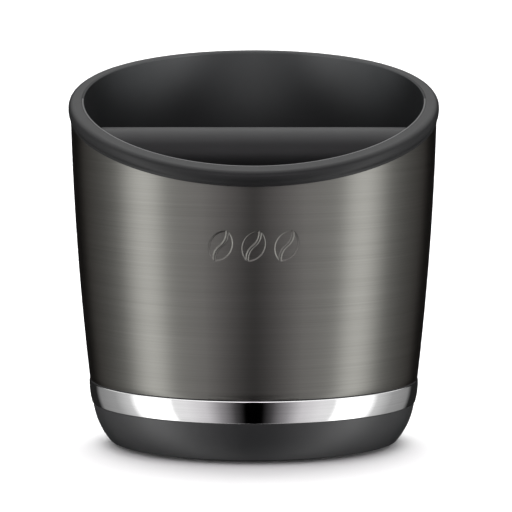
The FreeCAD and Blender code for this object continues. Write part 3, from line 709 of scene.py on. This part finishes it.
SEAT_OUTLINE = [
    (-SEAT_HALF, SEAT_TOP), (-SEAT_HALF, SLOT_LOW), (-SLOT_HALF, SEAT_LOW), (SLOT_HALF, SEAT_LOW),
    (SEAT_HALF, SLOT_LOW), (SEAT_HALF, SEAT_TOP), (SLOT_HALF, SEAT_TOP), (SLOT_HALF, SLOT_LOW),
    (-SLOT_HALF, SLOT_LOW), (-SLOT_HALF, SEAT_TOP),
]
SIDES = ((1, "right"), (-1, "left"))
for side, name in SIDES:
    vertices, faces = prism(SEAT_OUTLINE, side * SEAT_X, side * SEAT_END)
    finish_mesh("bar_seat_" + name, vertices, faces, "housing", ["inner_bin"], BIN, 0.5)


# ---- knock bar ----

def bar_section(angle):
    """The rubber sleeve: a plain tube with softly rounded ends."""
    return rounded([
        (-BAR_HALF, CORE_R, 0.2),
        (BAR_HALF, CORE_R, 0.2),
        (BAR_HALF, BAR_R, 1.0),
        (-BAR_HALF, BAR_R, 1.0),
    ], 6)


vertices, faces = turned_about_bar(bar_section, 1, 96)
finish_mesh("knock_bar_rubber", vertices, faces, "knock_bar", ["knock_bar_sleeve"], BAR)


# ---- bar ends ----

def block_radius(angle):
    """Distance from the bar's axis to the side of a square block with rounded corners."""
    across = max(abs(math.cos(angle)), abs(math.sin(angle)))
    along = min(abs(math.cos(angle)), abs(math.sin(angle)))
    straight = KEY_HALF - KEY_ROUND      # from the middle of a side to where its corner starts
    if along * KEY_HALF / across <= straight:
        return KEY_HALF / across
    middle = straight * (across + along)
    return middle + math.sqrt(middle ** 2 - 2 * straight ** 2 + KEY_ROUND ** 2)


def hexagon_radius(angle):
    """Distance from the axis to the side of the hexagon socket."""
    sixth = math.pi / 3
    offset = (angle + sixth / 2) % sixth - sixth / 2
    return HEX_R * math.cos(sixth / 2) / math.cos(offset)


def cap_section(angle):
    """An end cap: thin round flange, key block, and the sunk seat for the screw's head."""
    inner = cap_low.x
    outer = cap_high.x
    block = block_radius(angle)
    return rounded([
        (inner, SCREW_R + 0.05, 0),
        (inner, FLANGE_R, 0.25),
        (inner + FLANGE_THICK, FLANGE_R, 0.35),
        (inner + FLANGE_THICK, block, 0.3),
        (outer, block, 0.6),
        (outer, SINK_R, 0.3),
        (outer - SINK_DEEP, SINK_R, 0.2),
        (outer - SINK_DEEP, SCREW_R + 0.05, 0),
    ], 4)


def screw_section(angle):
    """A low-head screw with a hexagon socket."""
    face = screw_high.x
    under = cap_high.x - SINK_DEEP + 0.02
    socket = hexagon_radius(angle)
    return rounded([
        (screw_low.x, 0, 0),
        (screw_low.x, SCREW_R, 0.5),
        (under, SCREW_R, 0),
        (under, HEAD_R, 0.15),
        (face, HEAD_R, 0.6),
        (face, socket, 0.15),
        (face - HEX_DEEP, socket, 0.1),
        (face - HEX_DEEP, 0, 0),
    ], 4)


liner_in = liner_high.y - LINER_THICK
LINER_OUTLINE = [
    (-liner_high.y, liner_high.z), (-liner_high.y, liner_low.z), (liner_high.y, liner_low.z),
    (liner_high.y, liner_high.z), (liner_in, liner_high.z), (liner_in, liner_low.z + LINER_THICK),
    (-liner_in, liner_low.z + LINER_THICK), (-liner_in, liner_high.z),
]
for side, name in SIDES:
    vertices, faces = turned_about_bar(cap_section, side)
    finish_mesh("bar_cap_" + name, vertices, faces, "knock_bar", ["bar_end_cap_" + name],
                BIN)
    vertices, faces = turned_about_bar(screw_section, side)
    finish_mesh("bar_screw_" + name, vertices, faces, "knock_bar", ["bar_end_screw_" + name],
                PLATED)
    vertices, faces = prism(LINER_OUTLINE, side * liner_low.x, side * liner_high.x)
    finish_mesh("bar_liner_" + name, vertices, faces, "housing", ["slot_liner_" + name],
                SEAL, 0.4)


# ---- studio ----

FLOOR_HALF = 12.0        # metres, as everything in the studio
FLOOR_TONES = ((0.93, 0.93, 0.93), (0.95, 0.95, 0.95))
BACKDROP_RADIUS = 9.0
BACKDROP_LOW = -0.01
BACKDROP_TOP = 9.0
BACKDROP_LEVEL = 1.2


def stage_mesh(name, vertices, faces, material):
    """A smooth-shaded mesh that belongs to the studio and not to the part."""
    mesh = bpy.data.meshes.new(name)
    mesh.from_pydata(vertices, [], faces)
    mesh.materials.append(material)
    for polygon in mesh.polygons:
        polygon.use_smooth = True
    thing = bpy.data.objects.new(name, mesh)
    bpy.context.scene.collection.objects.link(thing)
    return thing


def make_floor():
    """A plain pale floor, kept out of the mirror-like trim's reflections."""
    material, tree, shader, coords = start_material("PaleFloor")
    tone = noise(tree, coords, 3.0)
    tree.links.new(blend_colour(tree, tone, *FLOOR_TONES), shader.inputs["Base Color"])
    shader.inputs["Roughness"].default_value = 0.9
    shader.inputs["Specular IOR Level"].default_value = 0.0
    half = FLOOR_HALF
    corners = [(-half, -half, 0), (half, -half, 0), (half, half, 0), (-half, half, 0)]
    floor = stage_mesh("floor", corners, [(0, 1, 2, 3)], material)
    floor.visible_glossy = False


def make_backdrop():
    """A white surround that only the camera sees, above the floor's far edge."""
    material = bpy.data.materials.new("WhiteBackdrop")
    material.use_nodes = True
    tree = material.node_tree
    tree.nodes.clear()
    glow = tree.nodes.new("ShaderNodeEmission")
    glow.inputs["Strength"].default_value = BACKDROP_LEVEL
    out = tree.nodes.new("ShaderNodeOutputMaterial")
    tree.links.new(glow.outputs["Emission"], out.inputs["Surface"])
    count = 64
    vertices = []
    for z in (BACKDROP_LOW, BACKDROP_TOP):
        for i in range(count):
            angle = 2 * math.pi * i / count
            vertices.append((BACKDROP_RADIUS * math.cos(angle), BACKDROP_RADIUS * math.sin(angle), z))
    faces = [(i, (i + 1) % count, count + (i + 1) % count, count + i) for i in range(count)]
    faces.append(tuple(range(count, 2 * count)))
    surround = stage_mesh("backdrop", vertices, faces, material)
    surround.visible_glossy = False
    surround.visible_diffuse = False
    surround.visible_shadow = False
    surround.visible_transmission = False


def ramp_node(tree, source, stops):
    """A grey ramp through (position, level) stops."""
    ramp = tree.nodes.new("ShaderNodeValToRGB")
    elements = ramp.color_ramp.elements
    while len(elements) < len(stops):
        elements.new(1.0)
    for element, (position, level) in zip(elements, stops):
        element.position = position
        element.color = (level, level, level, 1)
    tree.links.new(source, ramp.inputs["Fac"])
    return ramp.outputs["Color"]


def turned(degrees):
    """An angle round from the front, as a share of a half turn."""
    return degrees / 180


def raised(degrees):
    """An angle above the horizon, as the height of a direction of length one."""
    return math.sin(math.radians(degrees))


# Grey levels of the side panels, by angle round from the front over a half turn.
SIDE_LIGHT = [
    (turned(0), 0.0), (turned(6), 0.0), (turned(8), 0.005), (turned(13), 0.022),
    (turned(24), 0.11), (turned(34), 0.23), (turned(48), 0.30), (turned(58), 0.32),
    (turned(65), 0.78), (turned(76), 1.0), (turned(85), 0.72), (turned(97), 0.24),
    (turned(114), 0.13), (turned(137), 0.09), (turned(145), 0.006), (turned(180), 0.006),
]
# Each pair below is where a soft edge starts and ends.
PANEL_LEVEL = 2.7                # side panels: they fade out above and dim below the horizon
PANEL_TOP = (0.20, 0.50)
PANEL_BOTTOM = (-0.85, -0.45)
PANEL_BOTTOM_SHARE = 0.62
TOP_TILT = math.radians(2.0)     # round softbox overhead
TOP_EDGE = (math.cos(math.radians(50.0)), math.cos(math.radians(14.0)))
TOP_LEVEL = 1.6
HIGH_FROM = (raised(18.0), raised(32.0))     # high panels, everywhere but in front
HIGH_TO = (raised(50.0), raised(66.0))
HIGH_START = (turned(18), turned(88))
HIGH_LEVEL = 0.95
FILL_FROM = (raised(1.0), raised(7.0))       # two fill panels, left and right of the camera
FILL_TO = (raised(26.0), raised(42.0))
FILL_START = (turned(1), turned(6))
FILL_END = (turned(14), turned(62))
FILL_LEVEL = 1.5
FRONT_TINT = (1.03, 0.98, 1.03)
# Narrow beams: place, point aimed at, power.
SNOOT_SIZE = math.radians(8.8)
SNOOT_SOFT = 0.01
SNOOTS = [
    ((0.42, -0.42, 0.45), (-0.051, 0.054, 0.205), 66.0),
    ((-0.42, -0.42, 0.45), (0.051, 0.054, 0.205), 66.0),
    ((0.0, -0.62, 0.45), (0.0, 0.078, 0.196), 27.0),
]
SUN_TILT = math.radians(30.0)
SUN_WIDTH = math.radians(56.0)
SUN_LEVEL = 0.80
CAMERA_LENS = 261.0
CAMERA_SENSOR = 36.0
CAMERA_PLACE = (0.00103, -1.7, 0.27172)
CAMERA_TIP = math.radians(6.226)


def make_studio_light():
    """Tall softboxes on both sides, a dark gap behind the camera and at the back, a soft top light."""
    world = bpy.data.worlds.new("Studio")
    bpy.context.scene.world = world
    world.use_nodes = True
    tree = world.node_tree
    coords = tree.nodes.new("ShaderNodeTexCoord")
    split = tree.nodes.new("ShaderNodeSeparateXYZ")
    tree.links.new(coords.outputs["Generated"], split.inputs[0])
    height = split.outputs["Z"]
    forward = combine(tree, "MULTIPLY", split.outputs["Y"], -1.0)
    around = combine(tree, "ARCTAN2", split.outputs["X"], forward)
    turn = combine(tree, "DIVIDE", combine(tree, "ABSOLUTE", around), math.pi)
    sides = ramp_node(tree, turn, SIDE_LIGHT)
    low = smooth_step(tree, height, *PANEL_TOP, PANEL_LEVEL, 0.0)
    under = smooth_step(tree, height, *PANEL_BOTTOM, PANEL_BOTTOM_SHARE, 1.0)
    panels = times(tree, times(tree, sides, low), under)
    facing = tree.nodes.new("ShaderNodeVectorMath")
    facing.operation = "DOT_PRODUCT"
    facing.inputs[1].default_value = (0.0, math.sin(TOP_TILT), math.cos(TOP_TILT))
    tree.links.new(coords.outputs["Generated"], facing.inputs[0])
    top = smooth_step(tree, facing.outputs["Value"], *TOP_EDGE, 0.0, TOP_LEVEL)
    lifted = times(tree, smooth_step(tree, height, *HIGH_FROM, 0.0, HIGH_LEVEL),
                   smooth_step(tree, height, *HIGH_TO, 1.0, 0.0))
    beside = smooth_step(tree, turn, *HIGH_START, 0.0, 1.0)
    above = times(tree, smooth_step(tree, height, *FILL_FROM, 0.0, FILL_LEVEL),
                  smooth_step(tree, height, *FILL_TO, 1.0, 0.0))
    front = times(tree, smooth_step(tree, turn, *FILL_START, 0.0, 1.0),
                  smooth_step(tree, turn, *FILL_END, 1.0, 0.0))
    fill = times(tree, above, front)
    total = plus(tree, plus(tree, panels, top), plus(tree, times(tree, lifted, beside), fill))
    background = tree.nodes["Background"]
    tree.links.new(blend_colour(tree, turn, FRONT_TINT, (1, 1, 1), *FILL_END),
                   background.inputs["Color"])
    tree.links.new(total, background.inputs["Strength"])


def smooth_step(tree, source, start, end, low, high):
    """A number that runs softly from low to high as the source goes from start to end."""
    node = tree.nodes.new("ShaderNodeMapRange")
    node.interpolation_type = "SMOOTHSTEP"
    node.inputs["From Min"].default_value = start
    node.inputs["From Max"].default_value = end
    node.inputs["To Min"].default_value = low
    node.inputs["To Max"].default_value = high
    tree.links.new(source, node.inputs["Value"])
    return node.outputs["Result"]


def combine(tree, operation, one, other=None):
    """A sum, product or the like of one value and, where given, a second value or number."""
    node = tree.nodes.new("ShaderNodeMath")
    node.operation = operation
    tree.links.new(one, node.inputs[0])
    if isinstance(other, float):
        node.inputs[1].default_value = other
    elif other is not None:
        tree.links.new(other, node.inputs[1])
    return node.outputs[0]


def times(tree, one, other):
    """The product of two values."""
    return combine(tree, "MULTIPLY", one, other)


def plus(tree, one, other):
    """The sum of two values."""
    return combine(tree, "ADD", one, other)


def make_snoots():
    """Narrow soft beams over the front rim onto the upper back wall of the bin."""
    for place, target, power in SNOOTS:
        data = bpy.data.lights.new("Snoot", "SPOT")
        data.energy = power
        data.spot_size = SNOOT_SIZE
        data.spot_blend = 1.0
        data.shadow_soft_size = SNOOT_SOFT
        lamp = bpy.data.objects.new("Snoot", data)
        lamp.location = place
        aim = Vector(target) - Vector(place)
        lamp.rotation_euler = aim.to_track_quat("-Z", "Y").to_euler()
        bpy.context.scene.collection.objects.link(lamp)


def make_floor_light():
    """A broad soft light from above and behind, left out of mirror-like reflections."""
    data = bpy.data.lights.new("FloorLight", "SUN")
    data.energy = SUN_LEVEL * math.pi
    data.angle = SUN_WIDTH
    lamp = bpy.data.objects.new("FloorLight", data)
    lamp.rotation_euler = (-SUN_TILT, 0, 0)
    lamp.visible_glossy = False
    bpy.context.scene.collection.objects.link(lamp)


def make_camera():
    """A long lens in front, a little above the mouth, tipped slightly down."""
    data = bpy.data.cameras.new("Camera")
    data.lens = CAMERA_LENS
    data.sensor_width = CAMERA_SENSOR
    data.clip_end = 100.0
    camera = bpy.data.objects.new("Camera", data)
    camera.location = CAMERA_PLACE
    camera.rotation_euler = (math.pi / 2 - CAMERA_TIP, 0, 0)
    bpy.context.scene.collection.objects.link(camera)
    bpy.context.scene.camera = camera


make_floor()
make_backdrop()
make_studio_light()
make_snoots()
make_floor_light()
make_camera()
bpy.context.scene.view_settings.view_transform = "Standard"
